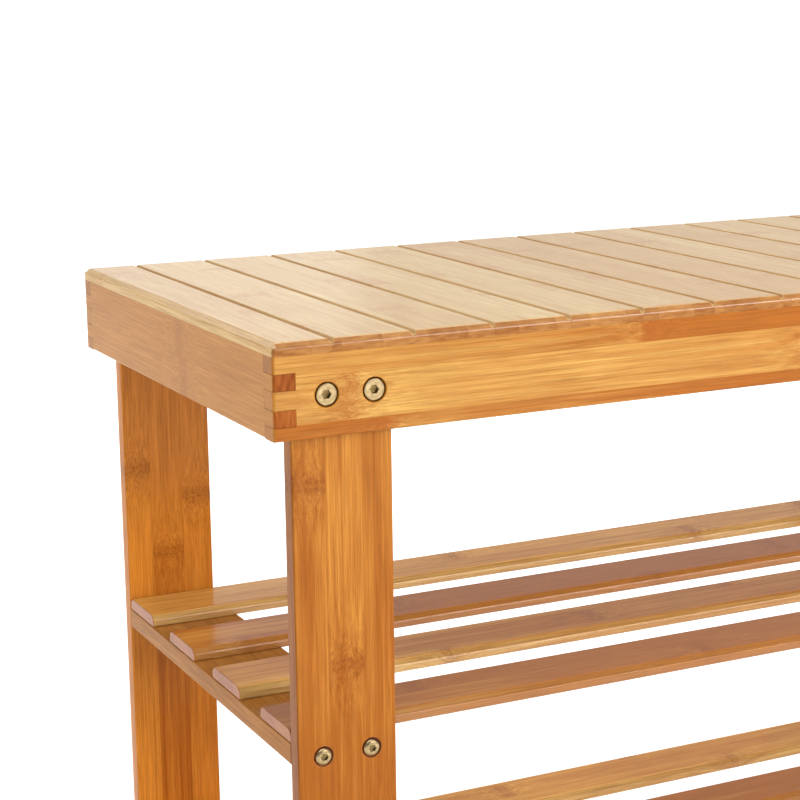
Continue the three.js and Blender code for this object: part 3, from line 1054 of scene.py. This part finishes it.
def make_shelves():
    """The end rails and slats of both shelves."""
    for level in ("upper", "lower"):
        for end in ("left", "right"):
            node = f"shelf_rail_{level}_{end}"
            low, high = node_box(node)
            outline = [(low.x, low.z), (high.x, low.z), (high.x, high.z), (low.x, high.z)]
            ring = softened(outline, RAIL_EDGE, 3, closed=True)
            rail = loft("y", eased_ends(ring, low.y, high.y, RAIL_END_EASE))
            bm = cut(rail, screw_sinks(node, level))
            board(f"{node}_board", bm, "yxz", "rail", "shelf_bamboo", node, **RAIL_LOOK)
        for i in range(1, SLAT_COUNT + 1):
            node = f"shelf_slat_{level}_{i}"
            low, high = node_box(node)
            bm = loft("x", eased_ends(slat_ring(low, high), low.x, high.x, SLAT_END_EASE))
            look = {"tone": SLAT_TONES[i - 1], "fall": SLAT_FALL}
            board(f"{node}_board", bm, "xyz", "shelf", "shelf_bamboo", node, **look)


# -------------------------------- fasteners

def thread(radius, start, end, depth=THREAD_DEPTH):
    """Ring grooves that stand for a thread between two places along it."""
    points = []
    y = start
    while y + THREAD_PITCH <= end:
        points += [(radius, y), (radius - depth, y + THREAD_PITCH / 2)]
        y += THREAD_PITCH
    return points + [(radius, end)]


def socketed(profile, across, depth):
    """A turned solid with a hexagon socket in its head at y = 0."""
    radius = across / math.sqrt(3)
    mouth = radius + SOCKET_CHAMFER
    outline = [
        (0, -1), (mouth, -1), (mouth, 0),
        (radius, SOCKET_CHAMFER), (radius, depth), (0, depth + SOCKET_POINT),
    ]
    return cut(lathe(profile), [lathe(outline, 6)])


def tube(profile, segments=ROUND_SEGMENTS):
    """A ring-shaped solid about Y from a closed profile of (radius, y) points."""
    bm = bmesh.new()
    rings = []
    for k in range(segments):
        angle = 2 * math.pi * k / segments
        rings.append([bm.verts.new(ring_point(radius, y, angle)) for radius, y in profile])
    for k in range(segments):
        here, there = rings[k], rings[(k + 1) % segments]
        for i in range(len(profile)):
            j = (i + 1) % len(profile)
            bm.faces.new((here[i], here[j], there[j], there[i]))
    bmesh.ops.recalc_face_normals(bm, faces=bm.faces)
    return bm


def cross_recessed(profile):
    """A turned solid with a cross recess in its head at y = 0."""
    arm, half, depth = 1.8, 0.35, 1.2
    quarter = [(arm, half), (half, half), (half, arm)]
    ring = []
    for turn in range(4):
        angle = turn * math.pi / 2
        cosine, sine = round(math.cos(angle)), round(math.sin(angle))
        ring += [(a * cosine - b * sine, a * sine + b * cosine) for a, b in quarter]
    return cut(lathe(profile), [loft("y", [(-depth, ring), (depth, ring)])])


def shank_points(shank, height, thread_start, tip):
    """The profile of a bolt from under its head to its tip."""
    threads = thread(shank, thread_start, tip - 1)
    return [(shank, height), *threads, (shank - 0.8, tip), (0, tip)]


def seat_bolt():
    """A flat-headed bolt with softened edges."""
    head, height, shank, tip = 5.2, 3.4, 3.0, 18.6
    crown = softened([(0.5, 0), (head, 0), (head, height), (shank, height)], 0.6, 4)[1:-1]
    profile = [(0, 0), *crown, *shank_points(shank, height, 6, tip)]
    return socketed(profile, 3.7, 2.2)


def shelf_bolt():
    """A button-headed bolt: a quarter ellipse from the flat round the socket to the rim."""
    head, height, shank, tip = 4.5, 2.6, 2.5, 32.0
    flat, dome_share, dome_steps = 2.2, 0.92, 8
    dome = []
    for k in range(dome_steps + 1):
        angle = math.pi / 2 * k / dome_steps
        radius = flat + (head - flat) * math.sin(angle)
        dome.append((radius, height * dome_share * (1 - math.cos(angle))))
    profile = [(0, 0), *dome, (head, height), *shank_points(shank, height, 12, tip)]
    return socketed(profile, 3.0, 1.6)


def make_bolts():
    """All the bolts, each about the place of its CAD node."""
    for prefix, make in (("seat_bolt", seat_bolt), ("shelf_bolt", shelf_bolt)):
        for face in ("front", "rear"):
            for node, place in bolt_places(prefix, face).items():
                bm = moved(make(), place, face == "rear")
                turned(f"{node}_fine", bm, place, node)


def insert_profile():
    """The wall of a threaded insert as a closed outline, with the thread on the inside."""
    rim, inner = 0.1, 3.5
    narrow = inner - THREAD_DEPTH
    wall = [(INSERT_RADIUS, rim), (INSERT_RADIUS, INSERT_LENGTH), (narrow, INSERT_LENGTH)]
    return [*wall, *thread(inner, 0.6, 8.2, -THREAD_DEPTH), (inner - rim, rim)]


def make_inserts():
    """Threaded inserts in the legs, seen from behind: the seat bolts run into them."""
    for face, sign in (("front", -1), ("rear", 1)):
        for node, place in bolt_places("seat_bolt", face).items():
            end = "left" if place.x < 0 else "right"
            low, high = node_box(f"leg_{face}_{end}")
            inner = high.y if sign < 0 else low.y
            middle = Vector((place.x, inner * MM, place.z))
            name = node.replace("seat_bolt", "leg_insert")
            turned(name, moved(tube(insert_profile()), middle, sign < 0), middle)


def screw_profile():
    """A countersunk screw, its head's flat side just inside the rail's underside."""
    sunk, shank, tip = 0.25, 1.55, 9
    head = [(0, sunk), (SCREW_RADIUS - 0.35, sunk), (SCREW_RADIUS - 0.1, 0.4), (shank, 2.3)]
    return [*head, (shank, tip - 0.5), (0, tip)]


def make_screws():
    """Countersunk screws that hold the slats, seen under the rails."""
    for level in ("upper", "lower"):
        for end in ("left", "right"):
            node = f"shelf_rail_{level}_{end}"
            places = screw_places(node, level)
            screws = [upright(cross_recessed(screw_profile()), place) for place in places]
            low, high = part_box(node)
            turned(f"slat_screws_{level}_{end}", merged(screws), (low + high) / 2)


make_seat()
make_aprons()
make_legs()
make_shelves()
make_bolts()
make_inserts()
make_screws()

# -------------------------------- floor, light and camera

FLOOR_REACH = 90.0

# The photo's camera, solved from the parallel edges of the seat: place and lens in metres and
# millimetres, angles in degrees.
CAMERA_PLACE = (-0.67374, -0.96433, 0.60939)
CAMERA_LENS = 91.16
CAMERA_HEADING = 25.70
CAMERA_PITCH = 11.80
CAMERA_ROLL = 0.76

# Each light's place and the point it faces, in metres, its width and height, and its power in
# watts. One that isn't mirrored lights the scene but shows in no reflection.
LIGHTS = {
    "front_softbox": {
        "place": (1.2, -2.3, 0.95), "target": (0, 0, 0.35), "size": (1.5, 0.9), "power": 66,
        "mirrored": False,
    },
    "edge_strip": {
        "place": (1.2, -1.95, 1.65), "target": (-0.1, -0.1, 0.45), "size": (1.6, 0.35), "power": 22,
    },
    "slat_strip": {
        "place": (1.1, -2.1, 1.1), "target": (0, 0, 0.26), "size": (2.4, 0.13), "power": 20,
    },
    "rear_card_wide": {
        "place": (1.0, 3.0, 1.0), "target": (0, 0, 0.45), "size": (3.8, 0.6), "power": 1.8,
    },
    "rear_card_left": {
        "place": (0.2, 3.0, 1.0), "target": (-0.2, 0, 0.45), "size": (1.8, 0.6), "power": 1.1,
    },
    "rear_card_high": {
        "place": (-1.0, 3.0, 1.9), "target": (-0.4, 0, 0.45), "size": (1.4, 0.7), "power": 3,
    },
    "left_fill": {
        "place": (-2.6, 0.2, 1.0), "target": (-0.3, 0, 0.35), "size": (1.6, 1.0), "power": 3.3,
        "mirrored": False, "spread": 70,
    },
    "rear_fill": {
        "place": (1.1, 2.5, 1.1), "target": (0, 0, 0.35), "size": (1.5, 0.9), "power": 20,
        "mirrored": False,
    },
    "corner_glint": {
        "place": (-1.5, -1.3, 2.5), "target": (-0.3, -0.1, 0.45), "size": (0.5, 0.5), "power": 5,
    },
}


def make_floor():
    """A white floor that reaches far behind the bench."""
    bm = bmesh.new()
    signs = ((-1, -1), (1, -1), (1, 1), (-1, 1))
    bm.faces.new([bm.verts.new((x * FLOOR_REACH, y * FLOOR_REACH, 0)) for x, y in signs])
    floor = linked("floor", bm)
    material, g, shader = new_material("pale_floor")
    g.feed(shader["Base Color"], (0.97, 0.97, 0.965, 1))
    g.feed(shader["Roughness"], 0.9)
    g.feed(shader["Specular IOR Level"], 0.1)
    floor.data.materials.append(material)


def area_light(name, place, target, size, power, mirrored=True, spread=180):
    """A white rectangular light. Its spread is in degrees."""
    data = bpy.data.lights.new(name, "AREA")
    data.shape = "RECTANGLE"
    data.size, data.size_y = size
    data.energy = power
    data.spread = math.radians(spread)
    light = bpy.data.objects.new(name, data)
    light.location = place
    direction = Vector(target) - Vector(place)
    light.rotation_euler = direction.to_track_quat("-Z", "Y").to_euler()
    light.visible_glossy = mirrored
    scene.collection.objects.link(light)


def make_world():
    """Even white light from all round."""
    world = bpy.data.worlds.new("studio")
    scene.world = world
    world.use_nodes = True
    background = world.node_tree.nodes["Background"]
    background.inputs["Color"].default_value = (1.0, 1.0, 1.0, 1.0)
    background.inputs["Strength"].default_value = 0.38


def make_sun():
    """A very soft light from above that keeps the floor white all the way back."""
    data = bpy.data.lights.new("ceiling", "SUN")
    data.energy = 2.6
    data.angle = math.radians(70)
    sun = bpy.data.objects.new("ceiling", data)
    sun.rotation_euler = Vector((-0.05, -0.1, -1.0)).to_track_quat("-Z", "Y").to_euler()
    scene.collection.objects.link(sun)


def make_camera():
    """The photo's camera, turned by its heading, then pitched down, then rolled."""
    data = bpy.data.cameras.new("camera")
    data.sensor_width = 36.0
    data.lens = CAMERA_LENS
    data.clip_start, data.clip_end = 0.05, 300.0
    camera = bpy.data.objects.new("camera", data)
    camera.location = CAMERA_PLACE
    heading, pitch, roll = map(math.radians, (CAMERA_HEADING, CAMERA_PITCH, CAMERA_ROLL))
    ahead = Vector((math.sin(heading), math.cos(heading), 0))
    forward = ahead * math.cos(pitch) + Vector((0, 0, -math.sin(pitch)))
    level = Vector((math.cos(heading), -math.sin(heading), 0))
    down = forward.cross(level)
    right = level * math.cos(roll) + down * math.sin(roll)
    up = level * math.sin(roll) - down * math.cos(roll)
    rotation = Matrix((right, up, -forward)).transposed()
    camera.rotation_mode = "QUATERNION"
    camera.rotation_quaternion = rotation.to_quaternion()
    scene.collection.objects.link(camera)
    scene.camera = camera


make_floor()
make_world()
make_sun()
for light_name, light_settings in LIGHTS.items():
    area_light(light_name, **light_settings)
make_camera()
scene.view_settings.view_transform = "Standard"
